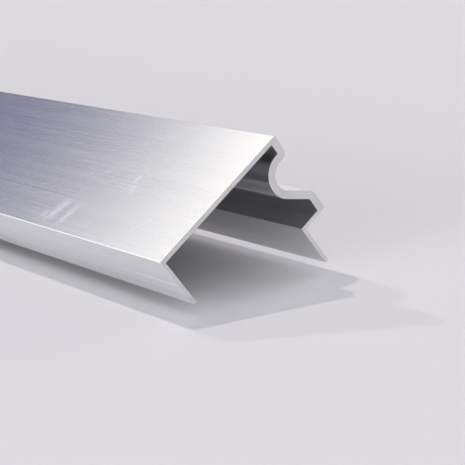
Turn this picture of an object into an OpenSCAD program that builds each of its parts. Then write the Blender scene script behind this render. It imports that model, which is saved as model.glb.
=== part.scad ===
// Aluminium extrusion profile: one straight piece of mill-finish stock with an open section.
// A broad thin face carries a short leg on one side. On the other side a thick lip turns into a
// round groove, runs down a 45 degree slope to a cheek, and steps back in to a thin long leg.
// Millimetres. X runs across the section, Y along the stock, Z up; the sawn end in view faces -Y.
// The piece lies as it would on a floor, on the rounded feet of its two legs.
// The origin is under the middle of its bounding box, at floor level.

/* [Stock] */
// Length of the piece
length = 1000; // [200:50:3000]

/* [Section] */
// Width across the broad face, and out to the cheek below it
face_width = 40; // [36:0.5:60]
// Depth from the broad face to the foot of the short leg
short_leg_depth = 13.6; // [6:0.1:20]
// Depth from the broad face to the foot of the long leg
long_leg_depth = 33.5; // [28:0.5:45]
// Depth from the broad face to the underside of the return
return_depth = 23.1; // [20.6:0.1:26]
// Distance the long leg stands in from the cheek
leg_setback = 7; // [4:0.1:12]

/* [Walls] */
// Wall of the broad face, the return and both legs
thin_wall = 1.1; // [0.8:0.1:1.6]
// Wall of the lip, the groove, the slope and the cheek
thick_wall = 2; // [1.6:0.1:2.4]

/* [Groove] */
// Radius of the round groove
groove_radius = 3.85; // [3:0.05:4.2]
// Depth from the broad face to the mouth of the groove
lip_depth = 5.7; // [4.5:0.1:7]
// Distance of the groove's centre in from the cheek's outer face
groove_inset = 2.5; // [2.4:0.1:3.6]

/* [Rounding] */
// Radius along the two edges of the broad face
edge_radius = 0.3; // [0.1:0.1:0.6]
// Radius on the lower edge of the lip
nose_radius = 1.5; // [0.5:0.1:1.8]
// Radius outside the bend from slope to cheek
slope_radius = 2; // [0.5:0.1:3]
// Radius along the edge between cheek and return
heel_radius = 0.6; // [0.2:0.1:1.2]

/* [Hidden] */
$fn = 96;
foot_radius = 0.45 * thin_wall;
groove_x = face_width - groove_inset;
groove_depth = lip_depth + groove_radius;
backing_radius = groove_radius + thick_wall;
leg_x = face_width - leg_setback - thin_wall;
// The slope runs on from the groove at 45 degrees. It lies a hair inside the tangent, so that its
// faces cross the round ones cleanly, and its outer face meets the cheek at slope_end.
blend = 0.001;
slope_start = (groove_radius - blend) * sin(45);
slope_end = groove_depth + groove_inset + 2 * slope_start;
backing_start = slope_start + thick_wall * sin(45);
// Both feet touch the floor, so the piece leans by the slope of the line between their centres.
lean = atan2(long_leg_depth - short_leg_depth, leg_x);
floor_drop = (short_leg_depth - foot_radius) * cos(lean) - foot_radius * sin(lean) + foot_radius;
// The edge of the face over the short leg and the heel are the outermost points across the section.
left_reach = edge_radius * (cos(lean) + sin(lean) - 1);
right_reach = (face_width - heel_radius) * cos(lean) + (return_depth - heel_radius) * sin(lean)
    + heel_radius;

// What is cut away to round a corner at the origin, one side of which runs along +X.
module corner(radius, angle) {
    reach = radius / tan(angle / 2);
    difference() {
        polygon([[0, 0], [reach, 0], [reach, radius], [reach * cos(angle), reach * sin(angle)]]);
        translate([reach, radius])
            circle(r = radius);
    }
}

// The outer outline, filled, with the groove cut in.
module outside() {
    difference() {
        polygon([
            [0, 0],
            [face_width, 0],
            [face_width, -lip_depth],
            [groove_x, -lip_depth],
            [groove_x, -groove_depth],
            [groove_x - slope_start, -groove_depth - slope_start],
            [face_width, -slope_end],
            [face_width, -return_depth],
            [leg_x + thin_wall, -return_depth],
            [leg_x + thin_wall, -long_leg_depth],
            [0, -long_leg_depth]
        ]);
        translate([groove_x, -groove_depth])
            circle(r = groove_radius);
        rotate(-90)
            corner(edge_radius, 90);
        translate([face_width, 0])
            rotate(180)
                corner(edge_radius, 90);
        translate([face_width, -lip_depth])
            rotate(90)
                corner(nose_radius, 90);
        translate([face_width, -slope_end])
            rotate(135)
                corner(slope_radius, 135);
        translate([face_width, -return_depth])
            rotate(90)
                corner(heel_radius, 90);
    }
}

// The channel inside the walls, open between the two legs.
module channel() {
    difference() {
        polygon([
            [thin_wall, -thin_wall],
            [face_width - thick_wall, -thin_wall],
            [face_width - thick_wall, thick_wall - lip_depth],
            [groove_x, thick_wall - lip_depth],
            [groove_x, -groove_depth],
            [groove_x - backing_start, -groove_depth - backing_start],
            [face_width - thick_wall, thick_wall - thick_wall * sqrt(2) - slope_end],
            [face_width - thick_wall, thin_wall - return_depth],
            [leg_x, thin_wall - return_depth],
            [leg_x, -long_leg_depth - 1],
            [thin_wall, -long_leg_depth - 1]
        ]);
        translate([groove_x, -groove_depth])
            circle(r = backing_radius);
    }
}

// What is cut away to round both sides of a leg's foot, which ends at the origin.
module foot() {
    corner(foot_radius, 90);
    translate([thin_wall, 0])
        rotate(90)
            corner(foot_radius, 90);
}

// The whole section with the broad face along +X and everything else below it.
module section() {
    difference() {
        outside();
        channel();
        translate([-1, -long_leg_depth - 1])
            square([thin_wall + 2, long_leg_depth - short_leg_depth + 1]);
        translate([0, -short_leg_depth])
            foot();
        translate([leg_x, -long_leg_depth])
            foot();
    }
}

module profile() {
    color([0.78, 0.78, 0.8])
        translate([-(left_reach + right_reach) / 2, 0, floor_drop])
            rotate([90, 0, 0])
                linear_extrude(height = length, center = true)
                    rotate(lean)
                        section();
}

profile();
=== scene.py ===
"""Looks, light and camera for one length of open aluminium extrusion lying on its two feet.

The profile is swept from its section with Geometry Nodes, at the sizes of the part's source, and
stands for the CAD node of the same piece. Metres, in the frame of the CAD model.
"""

import logging
import math
from dataclasses import dataclass, field
from enum import Enum

import bpy
from mathutils import Matrix, Vector


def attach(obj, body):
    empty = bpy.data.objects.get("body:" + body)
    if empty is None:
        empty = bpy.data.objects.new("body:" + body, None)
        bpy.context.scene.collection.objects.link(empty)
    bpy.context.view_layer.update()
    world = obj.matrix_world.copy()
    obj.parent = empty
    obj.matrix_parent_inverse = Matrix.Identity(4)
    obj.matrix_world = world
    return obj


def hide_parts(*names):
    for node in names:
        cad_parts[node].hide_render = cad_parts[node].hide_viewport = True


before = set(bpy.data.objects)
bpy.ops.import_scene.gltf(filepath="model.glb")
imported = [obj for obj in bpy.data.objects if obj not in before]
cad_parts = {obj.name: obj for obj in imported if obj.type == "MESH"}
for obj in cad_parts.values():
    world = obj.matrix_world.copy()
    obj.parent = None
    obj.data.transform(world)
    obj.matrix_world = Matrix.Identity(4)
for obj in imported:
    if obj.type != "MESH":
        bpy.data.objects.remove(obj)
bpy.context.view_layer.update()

LOG = logging.getLogger("profile_scene")
MM = 0.001
CAD_NODE = "profile"
CAD_BODY = "root"

Colour = tuple[float, float, float]
Point = tuple[float, float]
Range = tuple[float, float]

# Sockets of a Mix node that mixes colours, by number: it has several of each name.
MIX_FACTOR, MIX_FIRST, MIX_SECOND, MIX_RESULT = 0, 6, 7, 2


class Finish(Enum):
    """The two finishes of the piece, with the names of their materials."""

    MILL = "mill_aluminium_face"
    SAWN = "sawn_aluminium_end"


class LampRole(Enum):
    """What a lamp does in the studio."""

    KEY = "key_lamp_behind"
    RIM = "low_lamp_behind"


def new_object(name: str, data: bpy.types.ID) -> bpy.types.Object:
    """Make an object and put it in the scene.

    Args:
        name: The object's name.
        data: Its mesh, lamp or camera.

    Returns:
        The object, at the origin.
    """
    made = bpy.data.objects.new(name, data)
    bpy.context.scene.collection.objects.link(made)
    return made


# ---------------------------------------------------------------------------------------------
# Node trees
# ---------------------------------------------------------------------------------------------


class NodeBench:
    """A node tree being built: adds nodes, fills their inputs and links them."""

    def __init__(self, tree: bpy.types.NodeTree) -> None:
        """Start on an empty tree.

        Args:
            tree: The tree to fill; nodes that it already has are removed.
        """
        self.tree = tree
        tree.nodes.clear()

    def add(
        self, kind: str, inputs: dict[str | int, object] | None = None, **settings: object
    ) -> bpy.types.Node:
        """Add one node.

        Args:
            kind: The node's type name.
            inputs: Values or sockets for the node's inputs, by socket name or number.
            settings: Properties of the node itself.

        Returns:
            The new node.
        """
        node = self.tree.nodes.new(kind)
        for name, value in settings.items():
            setattr(node, name, value)
        for key, value in (inputs or {}).items():
            if isinstance(value, bpy.types.NodeSocket):
                self.tree.links.new(value, node.inputs[key])
            else:
                node.inputs[key].default_value = value
        return node

    def math(self, operation: str, *values: object, clamp: bool = False) -> bpy.types.NodeSocket:
        """Add a Math node, which is the same in shader and geometry trees.

        Args:
            operation: The operation's name.
            values: Numbers or sockets, in order.
            clamp: Whether the result is kept between 0 and 1.

        Returns:
            Its result socket.
        """
        node = self.add("ShaderNodeMath", dict(enumerate(values)), operation=operation)
        node.use_clamp = clamp
        return node.outputs[0]

    def vector(self, operation: str, *values: object) -> bpy.types.NodeSocket:
        """Add a Vector Math node.

        Args:
            operation: The operation's name.
            values: Vectors or sockets, in order.

        Returns:
            The socket with its result: a number for LENGTH and DOT_PRODUCT, or else a vector.
        """
        node = self.add("ShaderNodeVectorMath", dict(enumerate(values)), operation=operation)
        return node.outputs["Value" if operation in ("LENGTH", "DOT_PRODUCT") else "Vector"]

    def fade(self, value: object, start: float, end: float) -> bpy.types.NodeSocket:
        """Add a smooth step.

        Args:
            value: The number that is stepped.
            start: Where the step is still 0.
            end: Where it has reached 1; may be below start for a falling step.

        Returns:
            The socket with the number from 0 to 1.
        """
        inputs = {"Value": value, "From Min": start, "From Max": end}
        node = self.add("ShaderNodeMapRange", inputs, interpolation_type="SMOOTHSTEP")
        return node.outputs["Result"]

    def remap(self, value: object, low: float, high: float) -> bpy.types.NodeSocket:
        """Spread a number from 0 to 1 over another range.

        Args:
            value: The number from 0 to 1.
            low: What 0 becomes.
            high: What 1 becomes.

        Returns:
            The socket with the new number.
        """
        inputs = {"Value": value, "To Min": low, "To Max": high}
        return self.add("ShaderNodeMapRange", inputs).outputs["Result"]

    def mix(self, factor: object, first: object, second: object) -> bpy.types.NodeSocket:
        """Mix two colours.

        Args:
            factor: The share of the second colour.
            first: The first colour or socket.
            second: The second colour or socket.

        Returns:
            The socket with the mixed colour.
        """
        inputs = {MIX_FACTOR: factor}
        for socket, colour in ((MIX_FIRST, first), (MIX_SECOND, second)):
            inputs[socket] = (*colour, 1.0) if isinstance(colour, tuple) else colour
        return self.add("ShaderNodeMix", inputs, data_type="RGBA").outputs[MIX_RESULT]

    def weigh(
        self, terms: tuple[tuple[bpy.types.NodeSocket, float], ...]
    ) -> bpy.types.NodeSocket:
        """Add up numbers, each times its own share.

        Args:
            terms: The sockets with their shares.

        Returns:
            The socket with the sum.
        """
        (first, share), *rest = terms
        total = self.math("MULTIPLY", first, share)
        for value, share in rest:
            total = self.math("MULTIPLY_ADD", value, share, total)
        return total

    def blend(self, start: object, end: float, share: object) -> bpy.types.NodeSocket:
        """Move a number towards another.

        Args:
            start: The number where the share is 0.
            end: The number where the share is 1.
            share: How far it moves, from 0 to 1.

        Returns:
            The socket with the number between them.
        """
        return self.math("MULTIPLY_ADD", self.math("SUBTRACT", end, start), share, start)

    def group(self, tree: bpy.types.NodeTree, inputs: dict[str, object]) -> bpy.types.Node:
        """Place a shader node group.

        Args:
            tree: The group's tree.
            inputs: Values or sockets for its inputs, by name.

        Returns:
            The group's node.
        """
        return self.add("ShaderNodeGroup", inputs, node_tree=tree)

    def bump(self, height: bpy.types.NodeSocket, depth: float) -> bpy.types.NodeSocket:
        """Turn a height into a normal.

        Args:
            height: The height, from 0 to 1.
            depth: How deep that is, in metres.

        Returns:
            The socket with the normal.
        """
        inputs = {"Strength": 1.0, "Distance": depth, "Height": height}
        return self.add("ShaderNodeBump", inputs).outputs[0]

    def surface(self, inputs: dict[str, object]) -> None:
        """Finish a material with its shader and its output.

        Args:
            inputs: Values or sockets for the shader's inputs, by name.
        """
        shader = self.add("ShaderNodeBsdfPrincipled", inputs)
        self.add("ShaderNodeOutputMaterial", {"Surface": shader.outputs[0]})


def new_group(
    name: str, inputs: dict[str, object], outputs: tuple[str, ...]
) -> tuple[NodeBench, bpy.types.Node, bpy.types.Node]:
    """Make a shader node group with named sockets.

    Args:
        name: The group's name.
        inputs: Its inputs by name, with their defaults; a tuple makes a vector socket.
        outputs: The names of its outputs, all of them numbers.

    Returns:
        The bench of the group, its input node and its output node.
    """
    tree = bpy.data.node_groups.new(name, "ShaderNodeTree")
    bench = NodeBench(tree)
    for label, default in inputs.items():
        kind = "NodeSocketVector" if isinstance(default, tuple) else "NodeSocketFloat"
        socket = tree.interface.new_socket(name=label, in_out="INPUT", socket_type=kind)
        socket.default_value = default
    for label in outputs:
        tree.interface.new_socket(name=label, in_out="OUTPUT", socket_type="NodeSocketFloat")
    return bench, bench.add("NodeGroupInput"), bench.add("NodeGroupOutput")


@dataclass
class SurfaceEffects:
    """The effects that the finishes share, each a node group built once.

    Scales are in waves a metre. The bands' scale is that of the lines times band_share.
    """

    band_share: float = 0.1
    line_detail: float = 3.0
    line_roughness: float = 0.6
    grain_detail: float = 4.0
    speck_contrast: float = 14.0
    stroke_core: float = 0.1
    hair_scale: tuple[float, float, float] = (450.0, 900.0, 450.0)
    hair_detail: float = 2.0
    hair_fade: Range = (0.2, 0.6)
    lines: bpy.types.NodeTree = field(init=False)
    grain: bpy.types.NodeTree = field(init=False)
    scuff: bpy.types.NodeTree = field(init=False)

    def __post_init__(self) -> None:
        """Build the three groups."""
        self.lines = self._drawn_lines()
        self.grain = self._fine_grain()
        self.scuff = self._scuff_stroke()

    def _drawn_lines(self) -> bpy.types.NodeTree:
        """Build lines that run along the vector's Y, as a die or a saw leaves them.

        Returns:
            The group, with the fine lines and the broad bands between them as outputs.
        """
        inputs = {"Vector": (0.0, 0.0, 0.0), "Across": 1.0, "Along": 1.0}
        bench, given, made = new_group("drawn_lines", inputs, ("Lines", "Bands"))
        for label, share in (("Lines", 1.0), ("Bands", self.band_share)):
            across = bench.math("MULTIPLY", given.outputs["Across"], share)
            along = bench.math("MULTIPLY", given.outputs["Along"], share)
            scale = bench.add("ShaderNodeCombineXYZ", {"X": across, "Y": along, "Z": across})
            place = bench.vector("MULTIPLY", given.outputs["Vector"], scale.outputs[0])
            inputs = {
                "Vector": place,
                "Scale": 1.0,
                "Detail": self.line_detail,
                "Roughness": self.line_roughness,
            }
            noise = bench.add("ShaderNodeTexNoise", inputs)
            bench.tree.links.new(noise.outputs[0], made.inputs[label])
        return bench.tree

    def _fine_grain(self) -> bpy.types.NodeTree:
        """Build an even fine grain with sparse specks.

        Returns:
            The group, with the grain and the mask of the specks as outputs.
        """
        inputs = {"Vector": (0.0, 0.0, 0.0), "Scale": 1.0, "Rarity": 1.0}
        bench, given, made = new_group("fine_grain", inputs, ("Grain", "Specks"))
        inputs = {
            "Vector": given.outputs["Vector"],
            "Scale": given.outputs["Scale"],
            "Detail": self.grain_detail,
        }
        noise = bench.add("ShaderNodeTexNoise", inputs)
        over = bench.math("SUBTRACT", noise.outputs[0], given.outputs["Rarity"])
        specks = bench.math("MULTIPLY", over, self.speck_contrast, clamp=True)
        bench.tree.links.new(noise.outputs[0], made.inputs["Grain"])
        bench.tree.links.new(specks, made.inputs["Specks"])
        return bench.tree

    def _scuff_stroke(self) -> bpy.types.NodeTree:
        """Build one rubbed stroke, broken up along its length.

        Returns:
            The group, with the stroke's mask as output.
        """
        inputs = {
            "Vector": (0.0, 0.0, 0.0),
            "Centre": (0.0, 0.0, 0.0),
            "Turn": 0.0,
            "Reach": (1.0, 1.0, 1.0),
        }
        bench, given, made = new_group("scuff_stroke", inputs, ("Mask",))
        place = bench.vector("SUBTRACT", given.outputs["Vector"], given.outputs["Centre"])
        turned = bench.add(
            "ShaderNodeVectorRotate",
            {"Vector": place, "Angle": given.outputs["Turn"]},
            rotation_type="Z_AXIS",
        )
        local = bench.vector("DIVIDE", turned.outputs[0], given.outputs["Reach"])
        whole = bench.fade(bench.vector("LENGTH", local), 1.0, self.stroke_core)
        hair = bench.vector("MULTIPLY", turned.outputs[0], self.hair_scale)
        inputs = {"Vector": hair, "Scale": 1.0, "Detail": self.hair_detail}
        noise = bench.add("ShaderNodeTexNoise", inputs)
        broken = bench.fade(noise.outputs[0], *self.hair_fade)
        mask = bench.math("MULTIPLY", whole, broken)
        bench.tree.links.new(mask, made.inputs["Mask"])
        return bench.tree


# ---------------------------------------------------------------------------------------------
# The section and its sweep
# ---------------------------------------------------------------------------------------------


@dataclass(frozen=True)
class SectionSizes:
    """Sizes of the section, in millimetres, each as in the part's source."""

    face_width: float = 40.0
    short_leg_depth: float = 13.6
    long_leg_depth: float = 33.5
    return_depth: float = 23.1
    leg_setback: float = 7.0
    thin_wall: float = 1.1
    thick_wall: float = 2.0
    groove_radius: float = 3.85
    lip_depth: float = 5.7
    groove_inset: float = 2.5
    edge_radius: float = 0.3
    nose_radius: float = 1.5
    slope_radius: float = 2.0
    heel_radius: float = 0.6
    foot_share: float = 0.45
    slope_angle: float = 45.0

    @property
    def foot_radius(self) -> float:
        """Radius on both sides of each foot."""
        return self.foot_share * self.thin_wall

    @property
    def groove_x(self) -> float:
        """Where the groove's centre is along the face."""
        return self.face_width - self.groove_inset

    @property
    def groove_depth(self) -> float:
        """Depth of the groove's centre below the face."""
        return self.lip_depth + self.groove_radius

    @property
    def leg_x(self) -> float:
        """Where the long leg's inner side is along the face."""
        return self.face_width - self.leg_setback - self.thin_wall

    @property
    def slope_end(self) -> float:
        """Depth at which the slope's outer side would meet the cheek."""
        return self.groove_depth + self.groove_inset + math.sqrt(2.0) * self.groove_radius

    @property
    def lean(self) -> float:
        """Angle at which the face leans, in radians, with both feet on the floor."""
        return math.atan2(self.long_leg_depth - self.short_leg_depth, self.leg_x)

    def to_row(self, along: float, depth: float) -> Point:
        """Place a point of the section in the row frame.

        Args:
            along: Distance along the broad face, from the short leg's side, in millimetres.
            depth: Depth below the broad face, in millimetres.

        Returns:
            Its X and Z, in metres.
        """
        cosine, sine = math.cos(self.lean), math.sin(self.lean)
        left = self.edge_radius * (cosine + sine - 1.0)
        right = (self.face_width - self.heel_radius) * cosine + self.heel_radius
        right += (self.return_depth - self.heel_radius) * sine
        drop = (self.short_leg_depth - self.foot_radius) * cosine
        drop += self.foot_radius * (1.0 - sine)
        x = along * cosine + depth * sine - (left + right) / 2.0
        z = along * sine - depth * cosine + drop
        return x * MM, z * MM


@dataclass(frozen=True)
class Bend:
    """One arc of the outline, in the section's own millimetres, angles in degrees."""

    along: float
    depth: float
    radius: float
    start: float
    end: float
    steps: int = 8

    def points(self) -> list[Point]:
        """List the points along the arc.

        Returns:
            The points, first and last included, as distance along the face and depth.
        """
        angles = (
            math.radians(self.start + (self.end - self.start) * i / self.steps)
            for i in range(self.steps + 1)
        )
        return [
            (self.along + self.radius * math.cos(a), self.depth - self.radius * math.sin(a))
            for a in angles
        ]


@dataclass(frozen=True)
class SectionOutline:
    """The closed outline of the section.

    A straight run longer than some supports gets a support point close to each of its ends, so
    that it stays flat where the arcs beside it are shaded smooth.
    """

    sizes: SectionSizes
    support: float = 0.06
    shortest_run: float = 8.0
    nose_steps: int = 14
    groove_steps: int = 36
    slope_steps: int = 10

    def _outer(self) -> list[Point]:
        """List the outer outline, from the broad face round to the long leg's foot.

        Returns:
            The points as distance along the face and depth, in millimetres.
        """
        s = self.sizes
        width, edge, nose = s.face_width, s.edge_radius, s.nose_radius
        slope, heel, foot = s.slope_radius, s.heel_radius, s.foot_radius
        bend_drop = slope * math.tan(math.radians(s.slope_angle / 2.0))
        groove_end = 180.0 + s.slope_angle
        leg_outer = s.leg_x + s.thin_wall
        return [
            *Bend(edge, edge, edge, 180, 90).points(),
            *Bend(width - edge, edge, edge, 90, 0).points(),
            *Bend(width - nose, s.lip_depth - nose, nose, 0, -90, self.nose_steps).points(),
            *Bend(
                s.groove_x, s.groove_depth, s.groove_radius, 90, groove_end, self.groove_steps
            ).points(),
            *Bend(
                width - slope, s.slope_end + bend_drop, slope, s.slope_angle, 0, self.slope_steps
            ).points(),
            *Bend(width - heel, s.return_depth - heel, heel, 0, -90).points(),
            (leg_outer, s.return_depth),
            *Bend(leg_outer - foot, s.long_leg_depth - foot, foot, 0, -90).points(),
        ]

    def _inner(self) -> list[Point]:
        """List the rest of the outline, from the long leg's foot through the channel.

        Returns:
            The points as distance along the face and depth, in millimetres.
        """
        s = self.sizes
        thin, thick, foot = s.thin_wall, s.thick_wall, s.foot_radius
        wall = s.face_width - thick
        backing = s.groove_radius + thick
        groove_end = 180.0 + s.slope_angle
        return [
            *Bend(s.leg_x + foot, s.long_leg_depth - foot, foot, -90, -180).points(),
            (s.leg_x, s.return_depth - thin),
            (wall, s.return_depth - thin),
            (wall, s.slope_end - thick + thick * math.sqrt(2.0)),
            *Bend(
                s.groove_x, s.groove_depth, backing, groove_end, 90, self.groove_steps
            ).points(),
            (wall, s.lip_depth - thick),
            (wall, thin),
            (thin, thin),
            *Bend(thin - foot, s.short_leg_depth - foot, foot, 0, -90).points(),
            *Bend(foot, s.short_leg_depth - foot, foot, -90, -180).points(),
        ]

    def points(self) -> list[Point]:
        """List the outline, with the support points of its straight runs.

        Returns:
            The closed outline in the row frame, X and Z in metres.
        """
        bare = self._outer() + self._inner()
        full: list[Point] = []
        for here, there in zip(bare, bare[1:] + bare[:1]):
            full.append(here)
            run = math.dist(here, there)
            if run > self.shortest_run * self.support:
                for share in (self.support / run, 1.0 - self.support / run):
                    full.append(tuple(a + (b - a) * share for a, b in zip(here, there)))
        return [self.sizes.to_row(*p) for p in full]

    def outward(self) -> list[Point]:
        """Find the way out of the metal at each point of the outline.

        Returns:
            One vector a point, in X and Z, as long as moves both sides next to it by one.
        """
        points = self.points()
        earlier, later = points[-1:] + points[:-1], points[1:] + points[:1]
        ways = []
        for before, here, after in zip(earlier, points, later):
            sides = []
            for start, end in ((before, here), (here, after)):
                length = math.dist(start, end)
                sides.append(((start[1] - end[1]) / length, (end[0] - start[0]) / length))
            (ax, az), (bx, bz) = sides
            share = 1.0 / (1.0 + ax * bx + az * bz)
            ways.append(((ax + bx) * share, (az + bz) * share))
        return ways


@dataclass
class ExtrudedProfile:
    """The whole piece: the section swept along its length, with both ends lightly deburred.

    Of the rings along the length, the two outermost at each end are as far apart as the edge
    break, and the others are spread evenly.
    """

    sizes: SectionSizes = field(default_factory=SectionSizes)
    length: float = 1.0
    edge_break: float = 0.00008
    rings: int = 12
    cut_facing: float = 0.9
    smooth_below: float = 25.0
    name: str = "extruded_profile"

    def _outline_object(self) -> bpy.types.Object:
        """Make the outline as a ring of edges, with the way out stored on its points.

        Returns:
            The object that the sweep is made from.
        """
        outline = SectionOutline(self.sizes)
        points = outline.points()
        count = len(points)
        mesh = bpy.data.meshes.new(self.name)
        edges = [(i, (i + 1) % count) for i in range(count)]
        mesh.from_pydata([(x, -z, 0.0) for x, z in points], edges, [])
        ways = mesh.attributes.new("outward", "FLOAT_VECTOR", "POINT")
        ways.data.foreach_set("vector", [c for x, z in outline.outward() for c in (x, 0.0, z)])
        return new_object(self.name, mesh)

    def _sweep_tree(self) -> bpy.types.NodeTree:
        """Build the sweep: outline to curve, along a line, ends broken, finishes set.

        Returns:
            The tree, with the length, the edge break, the rings and both finishes as inputs.
        """
        tree = bpy.data.node_groups.new("extrusion_sweep", "GeometryNodeTree")
        bench = NodeBench(tree)
        sockets = (
            ("Outline", "NodeSocketGeometry"),
            ("Length", "NodeSocketFloat"),
            ("Edge Break", "NodeSocketFloat"),
            ("Rings", "NodeSocketInt"),
            ("Mill Finish", "NodeSocketMaterial"),
            ("Sawn Finish", "NodeSocketMaterial"),
        )
        for label, kind in sockets:
            tree.interface.new_socket(name=label, in_out="INPUT", socket_type=kind)
        tree.interface.new_socket(name="Profile", in_out="OUTPUT", socket_type="NodeSocketGeometry")
        given = bench.add("NodeGroupInput").outputs
        half = bench.math("MULTIPLY", given["Length"], 0.5)
        inner = bench.math("SUBTRACT", half, given["Edge Break"])
        last = bench.math("SUBTRACT", given["Rings"], 1.0)
        reach = bench.math("MULTIPLY", inner, last)
        reach = bench.math("DIVIDE", reach, bench.math("SUBTRACT", last, 2.0))
        start = bench.add("ShaderNodeCombineXYZ", {"Y": bench.math("MULTIPLY", reach, -1.0)})
        end = bench.add("ShaderNodeCombineXYZ", {"Y": reach})
        line = bench.add(
            "GeometryNodeCurvePrimitiveLine", {"Start": start.outputs[0], "End": end.outputs[0]}
        )
        path = bench.add(
            "GeometryNodeResampleCurve", {"Curve": line.outputs[0], "Count": given["Rings"]}
        )
        is_end = bench.add("GeometryNodeCurveEndpointSelection").outputs[0]
        place = bench.add("GeometryNodeInputPosition")
        parts = bench.add("ShaderNodeSeparateXYZ", {0: place.outputs[0]})
        side = bench.math("SIGN", parts.outputs["Y"])
        tip = bench.add("ShaderNodeCombineXYZ", {"Y": bench.math("MULTIPLY", side, half)})
        path = bench.add(
            "GeometryNodeSetPosition",
            {"Geometry": path.outputs[0], "Selection": is_end, "Position": tip.outputs[0]},
        )
        path = bench.add(
            "GeometryNodeStoreNamedAttribute",
            {"Geometry": path.outputs[0], "Name": "end_ring", "Value": is_end},
            data_type="FLOAT",
            domain="POINT",
        )
        section = bench.add("GeometryNodeMeshToCurve", {"Mesh": given["Outline"]})
        swept = bench.add(
            "GeometryNodeCurveToMesh",
            {"Curve": path.outputs[0], "Profile Curve": section.outputs[0], "Fill Caps": True},
        )
        way = bench.add(
            "GeometryNodeInputNamedAttribute", {"Name": "outward"}, data_type="FLOAT_VECTOR"
        )
        ring = bench.add(
            "GeometryNodeInputNamedAttribute", {"Name": "end_ring"}, data_type="FLOAT"
        )
        amount = bench.math("MULTIPLY", ring.outputs[0], given["Edge Break"])
        amount = bench.math("MULTIPLY", amount, -1.0)
        shift = bench.add(
            "ShaderNodeVectorMath", {0: way.outputs[0], "Scale": amount}, operation="SCALE"
        )
        broken = bench.add(
            "GeometryNodeSetPosition",
            {"Geometry": swept.outputs[0], "Offset": shift.outputs[0]},
        )
        normal = bench.add("GeometryNodeInputNormal")
        facing = bench.add("ShaderNodeSeparateXYZ", {0: normal.outputs[0]})
        across = bench.math("ABSOLUTE", facing.outputs["Y"])
        is_cut = bench.math("GREATER_THAN", across, self.cut_facing)
        real = bench.add("GeometryNodeRealizeInstances", {"Geometry": broken.outputs[0]})
        mill = bench.add(
            "GeometryNodeSetMaterial",
            {"Geometry": real.outputs[0], "Material": given["Mill Finish"]},
        )
        sawn = bench.add(
            "GeometryNodeSetMaterial",
            {
                "Geometry": mill.outputs[0],
                "Selection": is_cut,
                "Material": given["Sawn Finish"],
            },
        )
        bench.add("NodeGroupOutput", {"Profile": sawn.outputs[0]})
        return tree

    def build(self, mill: bpy.types.Material, sawn: bpy.types.Material) -> bpy.types.Object:
        """Sweep the piece and turn the result into a plain mesh.

        Args:
            mill: The finish of every drawn surface.
            sawn: The finish of the two ends.

        Returns:
            The finished piece, riding on the CAD body and standing for the CAD node.
        """
        piece = self._outline_object()
        sweep = piece.modifiers.new("sweep", "NODES")
        tree = self._sweep_tree()
        sweep.node_group = tree
        values = {
            "Length": self.length,
            "Edge Break": self.edge_break,
            "Rings": self.rings,
            "Mill Finish": mill,
            "Sawn Finish": sawn,
        }
        for socket in tree.interface.items_tree:
            if socket.in_out == "INPUT" and socket.name in values:
                sweep[socket.identifier] = values[socket.name]
        graph = bpy.context.evaluated_depsgraph_get()
        mesh = bpy.data.meshes.new_from_object(piece.evaluated_get(graph), depsgraph=graph)
        piece.modifiers.remove(sweep)
        outline = piece.data
        piece.data = mesh
        bpy.data.meshes.remove(outline)
        mesh.name = self.name
        for layer in ("outward", "end_ring"):
            if layer in mesh.attributes:
                mesh.attributes.remove(mesh.attributes[layer])
        mesh.polygons.foreach_set("use_smooth", [True] * len(mesh.polygons))
        mesh.set_sharp_from_angle(angle=math.radians(self.smooth_below))
        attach(piece, CAD_BODY)
        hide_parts(CAD_NODE)
        return piece


# ---------------------------------------------------------------------------------------------
# Finishes
# ---------------------------------------------------------------------------------------------


def new_material(name: str) -> tuple[bpy.types.Material, NodeBench]:
    """Make a material with an empty node tree.

    Args:
        name: The material's name.

    Returns:
        The material and the bench of its tree.
    """
    material = bpy.data.materials.new(name)
    material.use_nodes = True
    return material, NodeBench(material.node_tree)


@dataclass(frozen=True)
class Scuff:
    """One rubbed stroke, in millimetres and degrees.

    Its middle lies at a distance along the broad face, a depth below it and a station along the
    stock.
    """

    along: float
    depth: float
    station: float
    turn: float
    length: float
    width: float
    strength: float
    thickness: float = 1.2

    @property
    def reach(self) -> tuple[float, float, float]:
        """Half the stroke's length, width and thickness, in metres."""
        return self.length / 2.0 * MM, self.width / 2.0 * MM, self.thickness / 2.0 * MM


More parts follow.
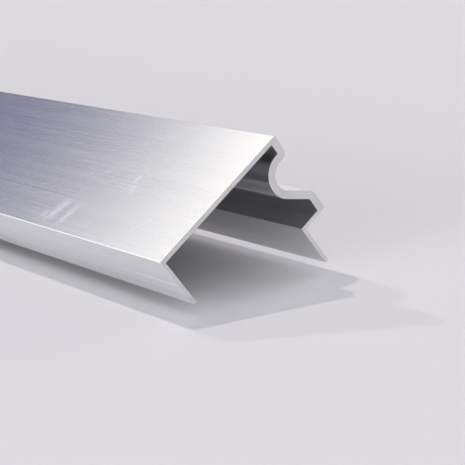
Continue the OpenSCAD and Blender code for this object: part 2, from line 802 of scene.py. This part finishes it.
@dataclass(frozen=True)
class MillFinish:
    """Drawn aluminium as it leaves the die: satin, with fine lines along the length.

    The broad face is the smoothest. Everything below it is a little rougher, and the outside of
    the short leg is the roughest. Its paler colour there is painted light: the same metal, painted
    lighter to show that side brightly lit. Shares are those of the lines, the bands and the
    grain, in that order, and edges are in millimetres.
    """

    sizes: SectionSizes
    bright: Colour = (0.81, 0.81, 0.821)
    dull: Colour = (0.76, 0.76, 0.779)
    # Paler colours of the short leg's outside: painted light, a lit copy of the same metal.
    leg_bright_painted_light: Colour = (0.87, 0.87, 0.885)
    leg_dull_painted_light: Colour = (0.79, 0.79, 0.805)
    rubbed: Colour = (0.94, 0.94, 0.95)
    # Pure white of the die line: a painted highlight on a real die line.
    scored_highlight: Colour = (1.0, 1.0, 1.0)
    roughness_low: float = 0.13
    roughness_high: float = 0.19
    rubbed_roughness: float = 0.34
    side_roughness: float = 0.25
    leg_roughness: float = 0.42
    lines_across: float = 9000.0
    lines_along: float = 5.0
    grain_scale: float = 2000.0
    speck_rarity: float = 0.57
    speck_strength: float = 0.25
    tone_shares: tuple[float, float, float] = (0.6, 0.9, 1.5)
    tone_fade: Range = (1.2, 1.8)
    height_shares: tuple[float, float, float] = (1.0, 0.4, 0.45)
    line_depth: float = 2.6e-5
    leg_edge: Range = (0.4, 0.1)
    face_edge: Range = (0.1, 0.5)
    scuffs: tuple[Scuff, ...] = (
        Scuff(5.9, 0.0, -446.4, 16.0, 13.5, 6.0, 0.46),
        Scuff(4.0, 0.0, -442.6, 26.0, 5.5, 4.2, 0.32),
        Scuff(5.4, 0.0, -452.3, 15.0, 11.5, 4.8, 0.4),
        Scuff(19.0, 0.0, -446.2, 0.0, 2.8, 3.4, 0.3),
        Scuff(20.5, 0.0, -452.4, 70.0, 8.0, 2.8, 0.2),
        Scuff(20.2, 0.0, -466.0, 4.0, 5.0, 2.2, 0.42),
        Scuff(16.6, 0.0, -467.8, -36.0, 6.0, 2.6, 0.35),
        Scuff(6.8, 0.0, -481.0, 43.0, 4.6, 1.6, 0.35),
        Scuff(4.6, 0.0, -462.6, 4.0, 4.6, 2.6, 0.25),
    )
    # A real die line near the cut end, painted white over the stretch where it catches light: a
    # painted highlight.
    die_line_and_highlight: Scuff = Scuff(0.0, 7.35, -494.0, 90.0, 46.0, 0.8, 1.0, 0.9)

    @staticmethod
    def _stroke(
        bench: NodeBench, effects: SurfaceEffects, section: bpy.types.NodeSocket, scuff: Scuff
    ) -> bpy.types.NodeSocket:
        """Lay one stroke.

        Args:
            bench: The bench of the material's tree.
            effects: The node groups that the finishes share.
            section: The place in the section, as a vector.
            scuff: The stroke.

        Returns:
            The socket with its mask, as strong as the stroke.
        """
        inputs = {
            "Vector": section,
            "Centre": (scuff.along * MM, scuff.station * MM, -scuff.depth * MM),
            "Turn": math.radians(scuff.turn),
            "Reach": scuff.reach,
        }
        mask = bench.group(effects.scuff, inputs).outputs["Mask"]
        return bench.math("MULTIPLY", mask, scuff.strength)

    def build(self, effects: SurfaceEffects) -> bpy.types.Material:
        """Build the material.

        Args:
            effects: The node groups that the finishes share.

        Returns:
            The material.
        """
        material, bench = new_material(Finish.MILL.value)
        place = bench.add("ShaderNodeTexCoord").outputs["Object"]
        corner_x, corner_z = self.sizes.to_row(0.0, 0.0)
        section = bench.add(
            "ShaderNodeMapping",
            {
                "Vector": place,
                "Location": (corner_x, 0.0, corner_z),
                "Rotation": (0.0, -self.sizes.lean, 0.0),
            },
            vector_type="TEXTURE",
        ).outputs[0]
        inputs = {"Vector": section, "Across": self.lines_across, "Along": self.lines_along}
        drawn = bench.group(effects.lines, inputs).outputs
        inputs = {"Vector": section, "Scale": self.grain_scale, "Rarity": self.speck_rarity}
        grain = bench.group(effects.grain, inputs).outputs
        patterns = (drawn["Lines"], drawn["Bands"], grain["Grain"])
        tone = bench.fade(bench.weigh(tuple(zip(patterns, self.tone_shares))), *self.tone_fade)
        parts = bench.add("ShaderNodeSeparateXYZ", {0: section}).outputs
        on_leg = bench.fade(parts["X"], *(edge * MM for edge in self.leg_edge))
        below = bench.fade(parts["Z"], *(-edge * MM for edge in self.face_edge))
        leg = bench.math("MULTIPLY", on_leg, below)
        # The short leg's outside is painted paler: painted light for how brightly that side is lit.
        face_colour = bench.mix(tone, self.dull, self.bright)
        leg_painted_light_colour = bench.mix(tone, self.leg_dull_painted_light, self.leg_bright_painted_light)
        colour = bench.mix(leg, face_colour, leg_painted_light_colour)
        rough = bench.math("ADD", drawn["Bands"], grain["Grain"])
        rough = bench.math("MULTIPLY", rough, 0.5)
        rough = bench.remap(rough, self.roughness_low, self.roughness_high)
        rough = bench.blend(rough, self.side_roughness, below)
        rough = bench.blend(rough, self.leg_roughness, leg)
        on_face = bench.math("SUBTRACT", 1.0, below)
        specks = bench.math("MULTIPLY", grain["Specks"], self.speck_strength)
        rub = bench.math("MULTIPLY", specks, on_face)
        for scuff in self.scuffs:
            rub = bench.math("MAXIMUM", rub, self._stroke(bench, effects, section, scuff))
        colour = bench.mix(rub, colour, self.rubbed)
        # The die line is painted white: a painted highlight over a real die line.
        score = self._stroke(bench, effects, section, self.die_line_and_highlight)
        colour = bench.mix(score, colour, self.scored_highlight)
        rough = bench.blend(rough, self.rubbed_roughness, rub)
        height = bench.weigh(tuple(zip(patterns, self.height_shares)))
        normal = bench.bump(height, self.line_depth)
        bench.surface(
            {"Base Color": colour, "Metallic": 1.0, "Roughness": rough, "Normal": normal}
        )
        return material


@dataclass(frozen=True)
class SawnFinish:
    """The cut ends: duller than the drawn faces, with fine saw marks across them."""

    bright: Colour = (0.79, 0.78, 0.79)
    dull: Colour = (0.71, 0.70, 0.71)
    roughness_low: float = 0.42
    roughness_high: float = 0.55
    mark_turn: float = 20.0
    mark_depth: float = 3.0e-6
    marks_across: float = 3000.0
    marks_along: float = 300.0
    grain_scale: float = 4000.0
    tone_fade: Range = (0.75, 1.25)

    def build(self, effects: SurfaceEffects) -> bpy.types.Material:
        """Build the material.

        Args:
            effects: The node groups that the finishes share.

        Returns:
            The material.
        """
        material, bench = new_material(Finish.SAWN.value)
        place = bench.add("ShaderNodeTexCoord").outputs["Object"]
        upright = (math.radians(90.0), 0.0, math.radians(self.mark_turn))
        turned = bench.add("ShaderNodeMapping", {"Vector": place, "Rotation": upright}).outputs[0]
        inputs = {"Vector": turned, "Across": self.marks_across, "Along": self.marks_along}
        marks = bench.group(effects.lines, inputs).outputs
        inputs = {"Vector": place, "Scale": self.grain_scale}
        grain = bench.group(effects.grain, inputs).outputs["Grain"]
        tone = bench.fade(bench.math("ADD", marks["Bands"], grain), *self.tone_fade)
        colour = bench.mix(tone, self.dull, self.bright)
        rough = bench.remap(marks["Lines"], self.roughness_low, self.roughness_high)
        normal = bench.bump(bench.math("ADD", marks["Lines"], grain), self.mark_depth)
        bench.surface(
            {"Base Color": colour, "Metallic": 1.0, "Roughness": rough, "Normal": normal}
        )
        return material


# ---------------------------------------------------------------------------------------------
# The studio
# ---------------------------------------------------------------------------------------------


def towards(azimuth: float, elevation: float) -> Vector:
    """Find a direction.

    Args:
        azimuth: Degrees from +Y towards +X.
        elevation: Degrees above the floor.

    Returns:
        The direction as a unit vector.
    """
    turn, rise = math.radians(azimuth), math.radians(elevation)
    ahead = math.cos(rise)
    return Vector((math.sin(turn) * ahead, math.cos(turn) * ahead, math.sin(rise)))


@dataclass(frozen=True)
class Floor:
    """The plain pale floor under the piece."""

    reach: float = 30.0
    level: float = -0.003
    colour: Colour = (0.74, 0.725, 0.755)
    mottled: Colour = (0.73, 0.715, 0.745)
    grain_scale: float = 900.0
    roughness: float = 0.75
    specular: float = 0.2

    def build(self, effects: SurfaceEffects) -> bpy.types.Object:
        """Build the floor and its material.

        Args:
            effects: The node groups that the finishes share.

        Returns:
            The floor.
        """
        material, bench = new_material("pale_floor")
        place = bench.add("ShaderNodeTexCoord").outputs["Object"]
        inputs = {"Vector": place, "Scale": self.grain_scale}
        grain = bench.group(effects.grain, inputs).outputs["Grain"]
        colour = bench.mix(grain, self.mottled, self.colour)
        bench.surface(
            {
                "Base Color": colour,
                "Roughness": self.roughness,
                "Specular IOR Level": self.specular,
            }
        )
        signs = ((-1, -1), (1, -1), (1, 1), (-1, 1))
        corners = [(x * self.reach, y * self.reach, self.level) for x, y in signs]
        mesh = bpy.data.meshes.new("floor")
        mesh.from_pydata(corners, [], [(0, 1, 2, 3)])
        mesh.materials.append(material)
        floor = new_object("floor", mesh)
        return floor


@dataclass(frozen=True)
class SunLamp:
    """A far lamp, given by where it stands: azimuth from +Y towards +X, and elevation.

    It lights the floor and casts the shadows. What the metal mirrors is all in the dome.
    """

    role: LampRole
    azimuth: float
    elevation: float
    strength: float
    spread: float
    colour: Colour

    def build(self) -> bpy.types.Object:
        """Hang the lamp.

        Returns:
            The lamp's object.
        """
        light = bpy.data.lights.new(self.role.value, "SUN")
        light.energy = self.strength
        light.angle = math.radians(self.spread)
        light.color = self.colour
        lamp = new_object(self.role.value, light)
        lamp.location = towards(self.azimuth, self.elevation)
        lamp.rotation_mode = "QUATERNION"
        lamp.rotation_quaternion = lamp.location.to_track_quat("Z", "Y")
        lamp.visible_glossy = False
        return lamp


@dataclass(frozen=True)
class SoftWindow:
    """A round soft source in the dome: where its middle is, and the angles at which it fades."""

    azimuth: float
    elevation: float
    inner: float
    outer: float
    colour: Colour

    def lay(
        self, bench: NodeBench, way: bpy.types.NodeSocket, under: object
    ) -> bpy.types.NodeSocket:
        """Lay the window over the light that is there already.

        Args:
            bench: The bench of the dome's tree.
            way: The direction that is looked up.
            under: The light that is covered.

        Returns:
            The socket with the light.
        """
        middle = towards(self.azimuth, self.elevation)
        angle = bench.math("ARCCOSINE", bench.vector("DOT_PRODUCT", way, middle))
        outside = bench.fade(angle, math.radians(self.inner), math.radians(self.outer))
        return bench.mix(outside, self.colour, under)


@dataclass(frozen=True)
class SoftLight:
    """Soft light from all round: an even level, with windows laid over it in order."""

    around: Colour
    windows: tuple[SoftWindow, ...]

    def lay(self, bench: NodeBench, way: bpy.types.NodeSocket) -> bpy.types.NodeSocket:
        """Lay the windows over the even level.

        Args:
            bench: The bench of the dome's tree.
            way: The direction that is looked up.

        Returns:
            The socket with the light.
        """
        light: object = self.around
        for window in self.windows:
            light = window.lay(bench, way, light)
        return light


@dataclass(frozen=True)
class StudioDome:
    """The soft light on the floor, what the metal mirrors, and the backdrop.

    The metal mirrors a bright arch behind the piece, round a dim and cool patch. The soft light
    on the floor comes mostly from both sides.
    """

    lit: SoftLight = SoftLight(
        (0.08, 0.07, 0.07),
        (
            SoftWindow(-150.0, 32.0, 16.0, 36.0, (2.03, 2.15, 2.13)),
            SoftWindow(120.0, 57.0, 20.0, 40.0, (1.13, 1.15, 1.27)),
            SoftWindow(-92.0, 4.0, 18.0, 34.0, (4.78, 4.72, 4.70)),
            SoftWindow(90.0, 5.0, 20.0, 38.0, (2.28, 2.22, 2.06)),
        ),
    )
    mirrored: SoftLight = SoftLight(
        (0.25, 0.25, 0.26),
        (
            SoftWindow(-150.0, 32.0, 16.0, 36.0, (0.50, 0.50, 0.51)),
            SoftWindow(120.0, 57.0, 20.0, 40.0, (0.60, 0.60, 0.60)),
            SoftWindow(-95.0, 18.0, 25.0, 50.0, (0.80, 0.80, 0.88)),
            SoftWindow(90.0, 15.0, 25.0, 50.0, (0.60, 0.60, 0.60)),
            SoftWindow(165.0, 8.0, 22.0, 45.0, (0.45, 0.45, 0.45)),
            SoftWindow(8.7, 15.3, 42.0, 60.0, (1.76, 1.72, 1.62)),
            SoftWindow(-36.0, 0.0, 14.0, 30.0, (0.95, 1.10, 1.25)),
            SoftWindow(48.0, 0.0, 18.0, 34.0, (0.90, 0.88, 0.86)),
            SoftWindow(8.7, 15.3, 15.7, 24.4, (0.154, 0.162, 0.285)),
        ),
    )
    backdrop: Colour = (0.70, 0.69, 0.72)

    def build(self) -> bpy.types.World:
        """Build the world.

        Returns:
            The scene's world.
        """
        world = bpy.data.worlds.new("studio_dome")
        world.use_nodes = True
        bench = NodeBench(world.node_tree)
        way = bench.add("ShaderNodeTexCoord").outputs["Generated"]
        lit = self.lit.lay(bench, way)
        mirrored = self.mirrored.lay(bench, way)
        rays = bench.add("ShaderNodeLightPath").outputs
        colour = bench.mix(rays["Is Glossy Ray"], lit, mirrored)
        colour = bench.mix(rays["Is Camera Ray"], colour, self.backdrop)
        shader = bench.add("ShaderNodeBackground", {"Color": colour, "Strength": 1.0})
        bench.add("ShaderNodeOutputWorld", {"Surface": shader.outputs[0]})
        bpy.context.scene.world = world
        return world


@dataclass(frozen=True)
class PhotoCamera:
    """The camera, close to the near end and turned slightly about its own axis.

    Its position is in millimetres, and its azimuth counts from -Y towards +X, in degrees.
    """

    position: tuple[float, float, float] = (-183.05, -765.98, 98.74)
    azimuth: float = -34.036
    elevation: float = 14.886
    roll: float = -6.37
    lens: float = 115.67
    film_width: float = 36.0
    clip: Range = (0.01, 100.0)

    def build(self) -> bpy.types.Object:
        """Set up the camera.

        Returns:
            The scene's camera.
        """
        turn, roll = math.radians(self.azimuth), math.radians(self.roll)
        back = towards(180.0 - self.azimuth, self.elevation)
        level = Vector((math.cos(turn), math.sin(turn), 0.0))
        upright = back.cross(level)
        right = level * math.cos(roll) + upright * math.sin(roll)
        up = back.cross(right)
        data = bpy.data.cameras.new("camera")
        data.lens = self.lens
        data.sensor_width = self.film_width
        data.clip_start, data.clip_end = self.clip
        camera = new_object("camera", data)
        axes = Matrix((right, up, back)).transposed().to_4x4()
        camera.matrix_world = Matrix.Translation(Vector(self.position) * MM) @ axes
        bpy.context.scene.camera = camera
        return camera


@dataclass
class Studio:
    """Floor, lamps, soft light and camera."""

    floor: Floor = field(default_factory=Floor)
    dome: StudioDome = field(default_factory=StudioDome)
    camera: PhotoCamera = field(default_factory=PhotoCamera)
    lamps: tuple[SunLamp, ...] = (
        SunLamp(LampRole.KEY, -12.3, 62.5, 0.71, 1.4, (1.0, 0.94, 0.93)),
        SunLamp(LampRole.RIM, -4.3, 36.2, 0.43, 1.0, (1.0, 0.97, 0.97)),
    )

    def build(self, effects: SurfaceEffects) -> None:
        """Set the studio up.

        Args:
            effects: The node groups that the finishes share.
        """
        bpy.context.scene.view_settings.view_transform = "Standard"
        self.floor.build(effects)
        self.dome.build()
        self.camera.build()
        for lamp in self.lamps:
            lamp.build()


def main() -> None:
    """Build the studio, the finishes and the piece, and log how many faces the piece has."""
    logging.basicConfig(level=logging.INFO, format="%(message)s")
    effects = SurfaceEffects()
    Studio().build(effects)
    profile = ExtrudedProfile()
    mill = MillFinish(profile.sizes).build(effects)
    sawn = SawnFinish().build(effects)
    piece = profile.build(mill, sawn)
    LOG.info("%s: %d faces", piece.name, len(piece.data.polygons))


if __name__ == "__main__":
    main()
